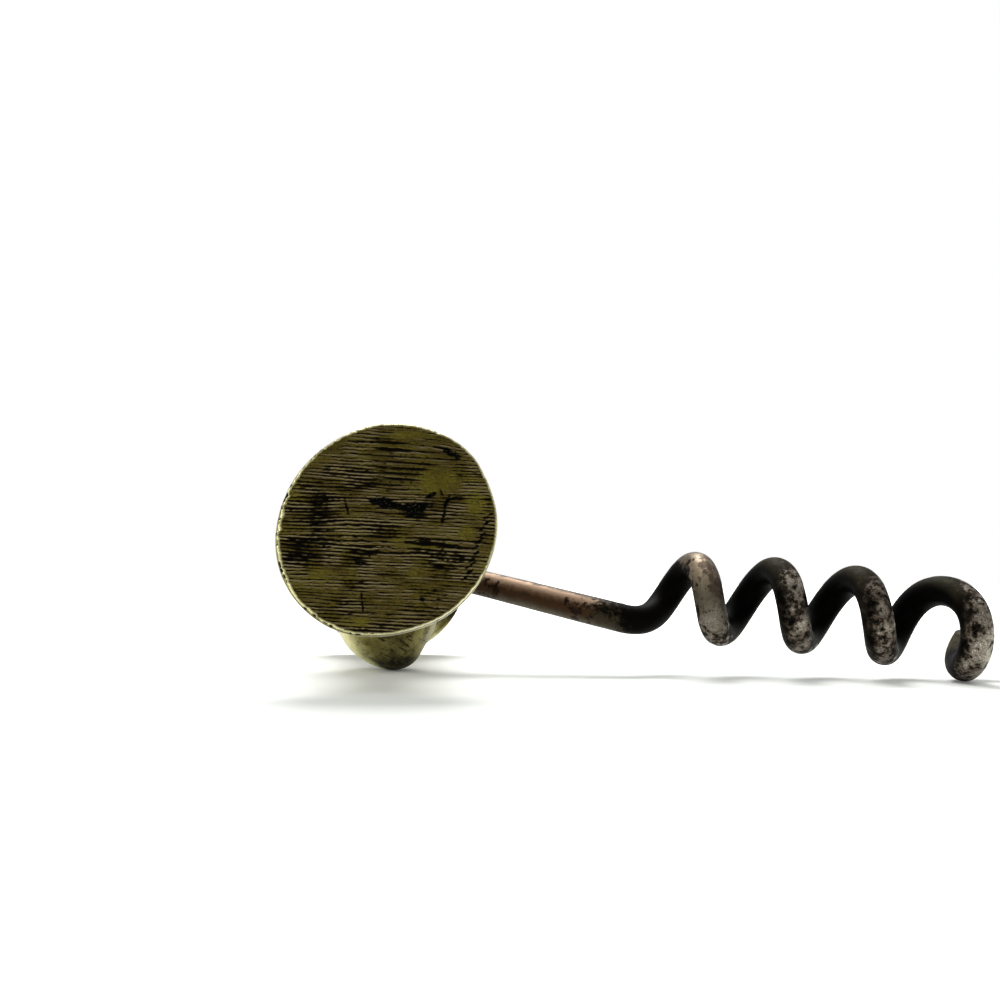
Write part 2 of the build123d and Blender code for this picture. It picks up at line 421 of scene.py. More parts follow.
def worm_steel():
    """Wire steel: dark oxide, rubbed bare on the outside of the coil, and coppery along the shank, with
    painted reflection and shade on the shank and painted highlights, sheen and shade on the coil.
    """
    finish = Finish("worm_steel")
    # Along goes from 0 to 1 on the shank, to 2 in the bend and to 3 on the coil; the ground facet is past 3
    along, outer, lead, crest_sheen = finish.marks("along", "outer", "lead", "crest_sheen")
    patch = finish.grain(1.7, detail=5.0, rough=0.66)
    flake = finish.grain(0.5, detail=4.0, rough=0.65)
    speckle = finish.grain(0.12, detail=2.0)
    rust = finish.grain(0.9, turn=(0.4, 0.2, 0.9))
    cloud, grit = patch - 0.5, flake - 0.5
    first_limb = along.band(2.0, 2.05, 2.11, 2.17)
    last_limb = along.band(2.845, 2.88, 2.90, 2.925)

    # First limb: tan, with a painted pale highlight streak, rust and a painted shaded edge
    edge = lead + grit * 0.8
    highlight_streak = edge.band(-0.6, -0.35, -0.1, 0.15) * along.band(2.062, 2.074, 2.08, 2.12)
    rusty = along.band(2.07, 2.082, 2.10, 2.115) * lead.step(-0.45, -0.1)
    rusted = (rust + grit * 0.5 + rusty * 0.12).step(0.52, 0.64)
    limb = finish.blend(along.step(2.052, 2.082), (0.085, 0.064, 0.043), (0.195, 0.146, 0.094))
    limb = finish.blend((along + cloud * 0.03).step(2.075, 2.115), limb, (0.080, 0.070, 0.047))
    limb = finish.blend(highlight_streak * 0.7, limb, (0.42, 0.34, 0.24))
    limb = finish.blend(rusted * 0.85, limb, (0.060, 0.036, 0.023))
    # Painted shade along the limb's edge on the point's side
    limb = finish.blend(edge.step(0.3, 0.85) * 0.85, limb, (0.020, 0.015, 0.010))

    # Coil: black oxide with a painted olive sheen on the crests, brown where it thins, and bare metal with a
    # few painted bright glints
    wear = outer * 0.85 + lead * 0.3 + cloud * 2.6 + grit * 3.0 + first_limb * 0.8 + last_limb * 0.35 + 0.2
    rubbed = wear.step(0.85, 1.35)
    thinned = patch.step(0.38, 0.62) * outer.step(-0.4, 0.7)
    oxide = finish.blend(thinned, (0.0010, 0.0008, 0.0006), (0.013, 0.010, 0.0068))
    # Painted sheen along the outward tops of the turns
    oxide = finish.blend(crest_sheen * (grit * 2.0 + 0.7), oxide, (0.030, 0.026, 0.013))
    metal = finish.blend(flake.step(0.4, 0.66), (0.29, 0.25, 0.20), (0.085, 0.064, 0.049))
    metal = finish.blend(last_limb * lead.step(0.1, 0.95) * 0.8, metal, (0.25, 0.23, 0.195))
    metal = finish.blend(first_limb * 0.9, metal, limb)
    # Painted highlights: a few bright glints on the rubbed metal
    painted_glint = wear.step(1.25, 1.7) * first_limb.flip() * speckle.step(0.42, 0.6)
    coil = finish.blend(wear.step(0.5, 0.95) * 0.85, oxide, (0.030, 0.022, 0.016))
    coil = finish.blend(rubbed, coil, metal)
    coil = finish.blend(painted_glint * 0.8, coil, (0.60, 0.56, 0.48))
    ground = finish.blend(flake.step(0.4, 0.7), (0.078, 0.066, 0.042), (0.034, 0.028, 0.017))
    point = along.step(3.1, 3.3).math("MAXIMUM", along.step(2.935, 2.96) * outer.step(0.6, -0.1))
    coil = finish.blend(point * 0.95, coil, ground)

    # Shank: bands of painted reflection and shade round it, bright along its top, red-brown below, dark
    # across its middle and paler underneath, with a few dark stains, and black towards the bend
    height = outer + cloud * 0.5 + grit * 0.3
    stained = along.band(0.51, 0.525, 0.585, 0.605) + along.band(0.79, 0.81, 0.90, 0.93)
    stain = (cloud * 1.6 + grit * 1.6 + stained * outer.step(-0.8, -0.4) * 0.5).step(0.42, 0.58)
    darker = (along + cloud * 0.35 + grit * 0.45 - outer * 0.05).step(0.89, 1.05)
    # Painted light: the dull end is a little paler on its underside
    dull = finish.blend(height.step(0.2, 0.8), (0.034, 0.027, 0.016), (0.050, 0.041, 0.029))
    shank = finish.blend(height.step(-0.95, -0.7), (0.045, 0.037, 0.029), (0.36, 0.245, 0.165))
    shank = finish.blend(height.step(-0.6, -0.2), shank, (0.145, 0.082, 0.048))
    shank = finish.blend(height.step(-0.3, 0.1), shank, (0.042, 0.022, 0.011))
    shank = finish.blend(height.step(0.35, 0.9), shank, (0.085, 0.070, 0.051))
    shank = finish.blend((along + cloud * 0.3 + grit * 0.35).step(0.83, 0.93), shank, dull)
    shank = finish.blend(stain * 0.88, shank, (0.012, 0.006, 0.005))
    shank = finish.blend(darker * 0.99, shank, (0.0022, 0.0017, 0.0013))
    peened = finish.blend(patch.step(0.4, 0.6), (0.19, 0.165, 0.14), (0.055, 0.043, 0.034))
    shank = finish.blend(along.step(0.06, 0.14), peened, shank)

    on_coil = along.step(1.75, 2.02)
    finish.set(
        Base_Color=finish.blend(on_coil, shank, coil),
        Metallic=rubbed * on_coil * 0.75 + on_coil.flip() * (darker * -0.57 + 0.6) + 0.02,
        Roughness=rubbed * -0.12 + first_limb * 0.14 + 0.5 + (speckle - 0.5) * 0.2,
        Specular_IOR_Level=0.015,
    )
    finish.bump(rubbed * -0.5 + flake * 0.6 + speckle * 0.25, 0.035)
    return finish.material


def drawn_steel():
    """Plain drawn steel wire, for the pin inside the hub."""
    finish = Finish("drawn_steel")
    lines = finish.grain(0.06, stretch=(1, 30, 1), detail=2.0)
    finish.set(
        Base_Color=finish.blend(lines.step(0.35, 0.65), (0.30, 0.285, 0.27), (0.40, 0.38, 0.36)),
        Metallic=0.95,
        Roughness=lines * 0.2 + 0.3,
    )
    finish.bump(lines, 0.006)
    return finish.material


plate_finish = filed_brass()
handle_finish = cast_brass()
worm_finish = worm_steel()
pin_finish = drawn_steel()


# End plates

view_turn = radians(2.15)  # the handle's X against level, as the near plate is seen
file_turn = radians(-2.75)  # the file strokes against level
fine_pitch = 0.32
coarse_pitch = 0.51
lip_shift = 0.11  # how far a stroke's lit lip lies below it

# Marks on the near plate, from its middle: right, up, half width, half height, turn in degrees, strength
smooth_spots = [
    (4.7, 4.5, 1.7, 1.5, 0, 1.0), (8.0, 2.5, 0.9, 1.1, 0, 0.9), (7.3, -0.3, 0.9, 0.7, 0, 0.9),
    (3.0, -3.8, 1.3, 0.6, 0, 0.5), (-6.5, 6.2, 1.6, 0.7, 0, 0.5), (1.5, -1.2, 1.5, 0.6, 0, 0.5),
    (-2.5, -8.2, 1.6, 0.5, 0, 0.6), (2.2, 8.8, 2.2, 0.4, 0, 0.8), (-5.0, -4.2, 1.8, 0.7, 0, 0.35),
]
dark_spots = [
    (-0.5, 2.5, 1.6, 0.6, -8, 1.05), (2.3, 1.85, 1.3, 0.75, -6, 1.1), (1.0, 2.15, 1.0, 0.3, -14, 0.6),
    (4.0, 3.2, 0.7, 0.35, 35, 0.75), (5.4, 2.6, 0.2, 0.8, -22, 1.1), (5.1, 1.2, 0.16, 0.8, -12, 1.0),
    (5.9, 2.9, 0.5, 0.16, 24, 0.9), (3.7, 2.3, 0.8, 0.4, 0, 0.7), (4.9, 3.5, 0.16, 0.5, 20, 0.9),
    (-6.0, 2.8, 1.3, 1.0, 0, 0.42), (-6.8, 0.6, 2.0, 1.3, 0, 0.3), (-6.6, -1.3, 2.3, 0.9, 0, 0.5),
    (-7.6, -2.6, 1.5, 0.6, 0, 0.4), (-3.55, 2.0, 0.13, 1.0, 14, 1.2), (-2.05, -6.5, 0.13, 1.0, 6, 1.1),
    (-2.3, -3.0, 0.6, 0.4, 0, 0.6), (-2.3, -2.2, 1.2, 0.6, 0, 0.35), (4.7, -6.0, 1.3, 1.0, 0, 0.42),
    (4.6, -7.4, 0.9, 0.5, 0, 0.45), (3.4, -6.3, 0.5, 0.9, 0, 0.45), (5.9, 7.1, 1.3, 0.35, -26, 1.0),
    (1.2, 6.3, 3.2, 1.3, -3, 0.28), (0.8, 4.4, 2.2, 0.9, -3, 0.3), (5.0, -2.6, 2.0, 1.3, -3, 0.38),
    (3.0, -0.9, 1.8, 0.7, -3, 0.25), (-7.4, 6.0, 0.5, 0.25, 30, 0.7),
]
# A band of short nicks near the right edge
for nick in range(11):
    nick_place = (9.15 - 0.2 * nick + 0.13 * sin(2.3 * nick), 1.3 - 0.56 * nick)
    nick_size = (0.52 + 0.18 * sin(1.7 * nick + 1), 0.16 + 0.05 * sin(3.1 * nick))
    dark_spots.append((*nick_place, *nick_size, 34, 1.05))
# Where the file cut deeper
deep_spots = [(-7.0, 0.0, 3.0, 3.8, 0, 0.6), (0.3, -0.8, 3.6, 1.9, -3, 0.4), (5.0, -2.4, 2.6, 1.8, -3, 0.35)]
# Where a coarser file was used
coarse_spots = [(1.8, 6.6, 4.2, 2.2, -3, 1.0), (1.6, 4.0, 2.8, 1.4, -3, 0.9)]


def spots(across, up, marks):
    """Soft oval marks on a face."""
    total = np.zeros_like(across)
    for right, above, half_width, half_height, turn, strength in marks:
        c, s = cos(radians(turn)), sin(radians(turn))
        x, y = across - right, up - above
        reach = np.sqrt(((x * c + y * s) / half_width) ** 2 + ((y * c - x * s) / half_height) ** 2)
        total = total + strength * (1 - step(0.4, 1.35, reach))
    return total


def rim_outline(angle, side):
    """Radius of a plate or rim, which is a little out of round; the near one is filed flatter at its foot."""
    from_long = np.radians(angle) - plate_turn
    stretch = np.hypot(plate_short * np.cos(from_long), plate_long * np.sin(from_long))
    oval = plate_long * plate_short / 2 / stretch
    ripple = 0.05 * drift_round(angle, 24, 3.5 + side, 11) - 0.05
    if side > 0:
        return oval + ripple
    foot = 0.50 * near_angle(angle, 272, 30) + 0.16 * near_angle(angle, 228, 24)
    corner = 0.2 * near_angle(angle, 43, 15) + 0.18 * near_angle(angle, 2, 18)
    return oval + ripple - foot + corner


def edge_width(angle, seed):
    """Width of a plate's worn edge: wide and crinkled on the left, less wide low down, thin on the right."""
    wide = 0.24 * near_angle(angle, 195, 55) + 0.10 * near_angle(angle, 306, 26)
    thin = 0.06 * near_angle(angle, 20, 50)
    wave = 0.05 * drift_round(angle, 9, 0.5, seed + 20)
    crinkle = (0.05 + 0.12 * near_angle(angle, 190, 55)) * drift_round(angle, 1.6, 0.5, seed + 23)
    return 0.13 + wide - thin + wave + crinkle


def file_strokes(along, across, push, coarse, seed):
    """Depth of the file's strokes from 0 to 1; push is how hard the file cut, coarse how coarse it was."""
    wander = 0.9 * drift(along / 11, across / 2.2, seed) + 0.3 * drift(along / 3.5, across / 0.7, seed + 1)
    fine_comb = 0.5 - 0.5 * np.cos(2 * pi * (across / fine_pitch + wander))
    coarse_comb = 0.5 - 0.5 * np.cos(2 * pi * (across / coarse_pitch + 0.6 * wander))
    comb = fine_comb * (1 - coarse) + coarse_comb * coarse
    weight = drift(along / 2.8, across / 0.3, seed + 2)
    fray = drift(along / 0.7, across / 0.1, seed + 3) + 0.7 * drift(along / 0.26, across / 0.1, seed + 14)
    return step(0.34, 0.76, 0.68 * comb + (0.3 * weight + 0.26 * fray) * (1 - 0.5 * coarse) + push)


def plate_face(side, columns, rows, seed):
    """A plate's filed face: the angles and depths of its points, the points and their marks."""
    # The face's grid runs along the strokes
    grid_right, grid_up = np.meshgrid(np.linspace(-1, 1, columns + 1), np.linspace(-1, 1, rows + 1))
    disc_right = (grid_right * np.sqrt(1 - grid_up**2 / 2)).ravel()
    disc_up = (grid_up * np.sqrt(1 - grid_right**2 / 2)).ravel()
    share = np.hypot(disc_right, disc_up)
    angle = np.degrees(np.arctan2(disc_up, disc_right) + file_turn - view_turn) % 360
    reach = share * (rim_outline(angle, side) - edge_width(angle, seed))
    x, z = reach * np.cos(np.radians(angle)), reach * np.sin(np.radians(angle))

    # Right and up as the plate is seen, and along and across the strokes
    right = (x * cos(view_turn) - z * sin(view_turn)) * -side
    up = x * sin(view_turn) + z * cos(view_turn)
    along = right * cos(file_turn) + up * sin(file_turn)
    across = up * cos(file_turn) - right * sin(file_turn)
    if side < 0:
        smooth, dark, deep, coarse = (
            spots(right, up, marks) for marks in (smooth_spots, dark_spots, deep_spots, coarse_spots)
        )
    else:
        smooth = 0.5 * step(0.1, 0.9, drift(right / 2.6, up / 1.6, seed + 8))
        dark = 0.8 * step(0.4, 0.8, drift(right / 1.8, up / 1.0, seed + 9))
        deep = 0.0
        coarse = step(0.1, 0.5, drift(right / 4.5, up / 2.5, seed + 10))
    smooth, coarse = np.clip(smooth, 0, 1), np.clip(coarse, 0, 1)

    # Strokes, their lit lips and sheen lines painted as highlights, and ragged stains
    push = 0.11 + 0.16 * drift(right / 2.6, up / 1.1, seed + 4) - 0.5 * smooth + 0.3 * (dark + deep)
    groove = file_strokes(along, across, push, coarse, seed)
    above = file_strokes(along, across + lip_shift, push, coarse, seed)
    lip = np.clip(above - groove, 0, 1) * step(-0.45, 0.5, drift(right / 1.6, up / 0.7, seed + 5))
    # Sheen lines: thin painted highlight streaks
    sheen_line = step(0.45, 0.85, drift(along / 2.6, across / 0.1, seed + 12))
    gleam = np.maximum(lip, 0.5 * sheen_line * (1 - groove)) * (1 - smooth)
    ragged = 0.4 * drift(along / 0.5, across / 0.16, seed + 6)
    ragged = ragged + 0.35 * drift(right / 0.24, up / 0.24, seed + 13)
    stain = step(0.35, 0.85, dark + ragged * (dark > 0.05))
    pores = drift(right / 0.2, up / 0.2, seed + 7) + 1

    # They fade out at the worn edge
    fade = 1 - step(0.972, 1.0, share)
    depth = 0.07 * share**4 + (0.05 * groove + 0.03 * stain + 0.012 * pores) * fade
    points = np.column_stack([x, side * (half_length - depth), z])
    marks = {
        "groove": groove * fade, "stain": stain * fade, "bare": step(0.983, 1.0, share),
        "gleam": gleam * fade, "smooth": smooth,
    }
    return angle, depth, points, marks


def worn_edge(side, angle, face_depth, seed):
    """Rings of points and marks over a plate's worn edge, pitted on the left and with a painted highlight low
    on the right.
    """
    outline, width = rim_outline(angle, side), edge_width(angle, seed)
    pits = 36
    pit_angles = np.random.default_rng(seed + 30).uniform(125, 262, pits)
    pit_sizes = np.random.default_rng(seed + 31).uniform(0.7, 1.7, pits)
    pit_places = np.random.default_rng(seed + 32).uniform(0.0, 0.6, pits)
    rough = drift_round(angle, 3, 1.5, seed + 21)
    # Low on the right the edge gets a painted highlight, and a dark seam along the same arc
    highlight_arc = near_angle(angle, 300, 36)
    outside = 0.2 + 0.8 * near_angle(angle, 292, 42)
    rings = []
    for share, drop in ((0.25, 0.05), (0.5, 0.13), (0.75, 0.25), (0.93, 0.40), (1.0, 0.52)):
        pit = np.zeros_like(angle)
        for pit_angle, size, place in zip(pit_angles, pit_sizes, pit_places):
            off = np.hypot(turn_apart(angle, pit_angle) / size, (share - place) / 0.45)
            pit = np.maximum(pit, 1 - step(0.5, 1.1, off))
        radius = outline - width * (1 - share) - 0.03 * pit
        depth = face_depth + drop * (0.75 + 0.5 * width / 0.44) + 0.05 * pit + 0.015 * rough
        seam = highlight_arc * np.interp(share, [0.25, 0.5, 0.75, 0.93], [0, 1, 0.6, 0]) * step(-0.5, 0.1, rough)
        ridge = np.interp(share, [0.25, 0.5, 0.75, 1], [0.9, 0.25, 0.16, 0.7])
        if share > 0.6:
            ridge = ridge * outside
        marks = {
            "groove": np.maximum(pit * 0.4, seam), "stain": np.maximum(pit, seam),
            "bare": ridge * (1 - 0.6 * np.abs(rough)) * (1 - pit), "gleam": highlight_arc, "smooth": 0.6,
        }
        rings.append((ring_round_y(radius, angle, side * (half_length - depth)), marks))
    return rings


def plate_back(side, angle):
    """Rings of points and marks down a plate's side, over its back and down its boss."""
    outline = rim_outline(angle, side)
    marks = {"groove": 0.1, "stain": 0.15, "bare": 0.3, "gleam": 0.0, "smooth": 0.6}
    line = [(outline, half_length - 0.75), (outline - 0.04, rim_end + 0.04), (outline - 0.12, rim_end)]
    line += [(bar_r, rim_end), (bar_r, rim_end - spigot_length)]
    return [(ring_round_y(radius, angle, side * distance), marks) for radius, distance in line]


def end_plate(name, node, side, columns, rows, seed):
    """An end plate: a finely divided face with file strokes cut in, a worn edge and a boss on the back."""
    angle, depth, points, face_marks = plate_face(side, columns, rows, seed)
    index = np.arange(len(points)).reshape(rows + 1, columns + 1)
    edge = np.concatenate([index[0, :-1], index[:-1, -1], index[-1, :0:-1], index[:0:-1, 0]])
    rings = worn_edge(side, angle[edge], depth[edge], seed) + plate_back(side, angle[edge])
    spokes, start = len(edge), len(points)
    middle = start + len(rings) * spokes
    points = np.vstack([points, *(ring for ring, _ in rings), [[0, side * (rim_end - spigot_length), 0]]])
    marks = {}
    for mark, values in face_marks.items():
        round_face = [np.broadcast_to(ring_marks[mark], spokes) for _, ring_marks in rings]
        marks[mark] = np.concatenate([values, *round_face, [0.0]])

    corners = [index[:-1, :-1], index[:-1, 1:], index[1:, 1:], index[1:, :-1]]
    faces = np.stack(corners, axis=-1).reshape(-1, 4).tolist()
    for spoke in range(spokes):
        after = (spoke + 1) % spokes
        faces.append((int(edge[spoke]), int(edge[after]), start + after, start + spoke))
        faces.append((middle - spokes + spoke, middle - spokes + after, middle))
    faces += ring_faces(len(rings), spokes, start)
    mesh = new_mesh(name, points, faces, **marks)
    return new_piece(name, mesh, plate_finish, "plate_brass", node)


end_plate("filed_near_plate", "near_plate", -1, 190, 420, 3)
end_plate("filed_far_plate", "far_plate", 1, 120, 260, 57)


# Grips

def grip(name, node, side, seed):
    """A grip: neck, long flare, lip and rim, bored for the bar."""
    spokes, neck_steps, flare_steps = 224, 6, 30
    neck_end = neck_seat + neck_length
    flare_r = plate_short / 2 - rim_lip
    rise, run = flare_r - neck_r, rim_start - neck_end
    flare_radius = (rise**2 + run**2) / (2 * rise)

    # The grip's line, as (distance along the handle, radius); its rim's radius is counted from the oval
    neck = [(neck_seat, bore_r), (neck_seat, neck_r - 0.12), (neck_seat + 0.05, neck_r - 0.03)]
    neck.append((neck_seat + 0.2, neck_r))
    neck += [(neck_seat + neck_length * place / neck_steps, neck_r) for place in range(1, neck_steps)]
    flare = []
    for place in range(flare_steps + 1):
        out = run * place / flare_steps
        flare.append((neck_end + out, neck_r + flare_radius - sqrt(flare_radius**2 - out**2)))
    rim = [(rim_start, -0.5), (rim_start, -0.26), (rim_start + 0.05, -0.09), (rim_start + 0.16, -0.01)]
    rim += [(rim_start + 0.3, 0.0), (rim_start + 0.75, 0.0), (rim_end - 0.3, 0.0)]
    rim += [(rim_end - 0.12, -0.02), (rim_end - 0.03, -0.1), (rim_end, -0.22)]
    bore = [(rim_end, bore_r), ((rim_end + neck_seat) / 2, bore_r)]
    line = [(*place, False) for place in neck + flare]
    line += [(*place, True) for place in rim]
    line += [(*place, False) for place in bore]

    angle = np.arange(spokes) * 360 / spokes
    outline = rim_outline(angle, side)
    # The far rim is paler low down on the worm's side, and carries painted shade above that
    pale = near_angle(angle, 298, 15) * (side > 0)
    grime_and_shading = near_angle(angle, 332, 14) * (side > 0)
    points, hollow, worn = [], [], []
    for distance, radius, oval in line:
        shell = ring_round_y(outline + radius if oval else radius, angle, side * distance)
        if radius != bore_r:
            uneven = 0.004 * (1 + lumps(shell, 3.1, seed)) + 0.0015 * (1 + lumps(shell, 0.9, seed + 1))
            shell[:, (0, 2)] *= (1 - uneven)[:, None]
        near_hub = 1 - step(neck_seat, neck_seat + 1.6, distance)
        under_lip = 0.0 if oval else 0.4 * step(rim_start - 2.2, rim_start, distance)
        by_rim = step(rim_start - 3.5, rim_start - 1.0, distance)
        edge = 0.55 if oval and radius > -0.12 else 0.0
        held = step(neck_end, neck_end + 4, distance) * (1 - step(rim_start - 4, rim_start - 1, distance))
        points.append(shell)
        # Darker near the hub and under the lip; painted shade by the far rim
        hollow.append(np.maximum(max(near_hub, under_lip) * (1 - pale), by_rim * grime_and_shading))
        worn.append(np.maximum(max(edge, 0.45 * held) * (1 - by_rim * grime_and_shading), 0.8 * by_rim * pale))
    faces = ring_faces(len(line), spokes, closed=True)
    mesh = new_mesh(name, np.vstack(points), faces, hollow=np.concatenate(hollow), worn=np.concatenate(worn))
    return new_piece(name, mesh, handle_finish, "handle_brass", node)


grip("near_flared_grip", "near_grip", -1, 71)
grip("far_flared_grip", "far_grip", 1, 83)


# Hub

def rod(radius, start, end, lie):
    """A plain rod that stands for a drill or a reamer."""
    spokes = 96
    points = np.vstack([ring_round_z(radius, spokes, distance) for distance in (start, end)])
    faces = ring_faces(2, spokes) + [tuple(range(spokes)), tuple(range(spokes, 2 * spokes))]
    return bpy.data.objects.new("drill", new_mesh("drill", points, faces, lie))


def egg_hub():
    """The hub: an egg-shaped casting, seated for both necks, the collar and the rove."""
    spokes, rings = 176, 128
    polar = np.pi * (np.arange(1, rings) / rings)
    angle = np.arange(spokes) * 2 * pi / spokes
    polar, angle = (grid.ravel() for grid in np.meshgrid(polar, angle, indexing="ij"))
    points = np.column_stack([
        hub_half_width * np.sin(polar) * np.cos(angle),
        hub_half_width * np.sin(polar) * np.sin(angle),
        hub_half_height * np.cos(polar),
    ])
    points = np.vstack([points, [[0, 0, hub_half_height], [0, 0, -hub_half_height]]])
    x, y, z = points.T
    uneven = 0.010 * (1 + lumps(points, 4.2, 5)) + 0.003 * (1 + lumps(points, 1.1, 6))
    calm = step(0, 0.9, np.abs(hub_half_height + z))
    points[:, :2] *= (1 - uneven * calm)[:, None]
    # The foot leans a little away from the worm
    points[:, 0] -= 0.7 * step(2.5, 8.0, -z) * (1 - step(9.5, 12.3, -z))

    around = np.degrees(np.arctan2(y, x))
    by_necks = np.clip(1 - np.abs(np.hypot(x, z) - neck_r - fit_gap) / 1.1, 0, 1) * step(3.0, 4.4, np.abs(y))
    # Darker on the lower front, and painted shade on the foot where it meets the table
    front = 0.55 * near_angle(around, 274, 22) * step(4.0, 8.0, -z)
    foot = 0.7 * step(9.8, 12.2, np.abs(z - 0.6)) * (z < 0)
    hollow = np.maximum(np.maximum(by_necks, front), foot)
    # Painted highlight: the flanks are made paler, mostly the one away from the worm
    sides = 0.75 * near_angle(around, 195, 42) + 0.2 * near_angle(around, 335, 25)
    worn = sides * step(3.0, 8.0, np.abs(z))
    scored = near_angle(around, 270, 32) * step(3.0, 6.0, -z)

    faces = ring_faces(rings - 1, spokes)
    top, bottom, last = (rings - 1) * spokes, (rings - 1) * spokes + 1, (rings - 2) * spokes
    faces += [(top, (spoke + 1) % spokes, spoke) for spoke in range(spokes)]
    faces += [(bottom, last + spoke, last + (spoke + 1) % spokes) for spoke in range(spokes)]
    mesh = new_mesh("egg_hub", points, faces, hollow=hollow, worn=worn, scored=scored)
    blank = bpy.data.objects.new("egg_hub_blank", mesh)
    scene.collection.objects.link(blank)
    along_handle = Matrix.Rotation(radians(-90), 3, "X")
    outside, bore_half = 12, 9
    drills = [
        rod(neck_r + fit_gap, neck_seat, outside, along_handle),
        rod(neck_r + fit_gap, -outside, -neck_seat, along_handle),
        rod(bore_r, -bore_half, bore_half, along_handle),
        rod(tang_r + fit_gap, -outside, outside, shank_lie),
        rod(collar_r + fit_gap, collar_seat, outside, shank_lie),
        rod(rove_r + fit_gap, -outside, -rove_seat, shank_lie),
    ]
    for drill in drills:
        scene.collection.objects.link(drill)
        cut = blank.modifiers.new("seat", "BOOLEAN")
        cut.operation, cut.solver, cut.object = "DIFFERENCE", "EXACT", drill
    bored = bpy.data.meshes.new_from_object(blank.evaluated_get(bpy.context.evaluated_depsgraph_get()))
    for spare in (blank, *drills):
        bpy.data.objects.remove(spare)
    return new_piece("egg_hub", bored, handle_finish, "handle_brass", "hub")


egg_hub()


# Collar and rove, turned rings on the shank

def turned_ring(name, node, corners, rounding, seed):
    """A ring turned to a line of (distance along the shank, radius), with its edges rounded."""
    line = [corners[0], *rounded([*corners, corners[0]], rounding)[1:-1]]
    spokes = 120
    inner = min(radius for _, radius in corners)
    outer = max(radius for _, radius in corners)
    points, hollow, worn = [], [], []
    for distance, radius in line:
        shell = ring_round_z(radius, spokes, distance)
        if radius > inner + 0.2:
            shell[:, :2] *= 1 - 0.006 * (1 + lumps(shell, 1.2, seed))[:, None]
        points.append(shell)
        hollow.append(np.full(spokes, 0.8 if radius < inner + 0.5 else 0.15))
        worn.append(np.full(spokes, 0.6 if radius > outer - 0.25 else 0.1))
    faces = ring_faces(len(line), spokes, closed=True)
    marks = {"hollow": np.concatenate(hollow), "worn": np.concatenate(worn)}
    mesh = new_mesh(name, np.vstack(points), faces, shank_lie, **marks)
    return new_piece(name, mesh, handle_finish, "handle_brass", node)


def ring_corners(seat, end, radius, seam):
    """Corners of a ring's section, from a place in its bore."""
    bore = tang_r + fit_gap
    return [(seam, bore), (seat, bore), (seat, radius), (end, radius), (end, bore)]


collar_corners = ring_corners(collar_seat, collar_end, collar_r, collar_seat + 1.0)
rove_corners = ring_corners(-rove_seat, -rove_end, rove_r, -rove_seat - 0.5)
turned_ring("turned_collar", "shank_collar", collar_corners, 0.5, 91)
turned_ring("turned_rove", "shank_rove", rove_corners, 0.18, 93)


# Worm

wire_sides = 40
shank_steps = 61
bend_steps = 44
coil_steps = 640
# Places in the wire's order: the shank's end, where grinding starts, and the ground facet
shank_last = 0.985
tip_start = 2.955
facet_mark = 3.5


def late(turn):
    """Goes smoothly from 0 before the coil opens to 1 on its last turn."""
    return float(step(end_turn, end_turn + end_blend, turn))


def coil_point(turn):
    """Middle of the wire after this many turns, in the worm's frame: up, front and along its axis."""
    angle = 2 * pi * turn
    radius = coil_radius + end_spread * late(turn)
    rise = 4 * coil_bow * (turn / coil_last) * (1 - turn / coil_last)
    lean = lean_length * cos(angle) * (1 + late(turn))
    swing = swing_length * sin(angle) * late(turn)
    advance = coil_pitch * turn + lean + swing
    return Vector((radius * cos(angle) + rise, radius * sin(angle), shank_reach + bend_length + advance))


def coil_heading(turn):
    """Direction of the wire after this many turns."""
    little = 0.001
    return (coil_point(turn + little) - coil_point(turn - little)).normalized()


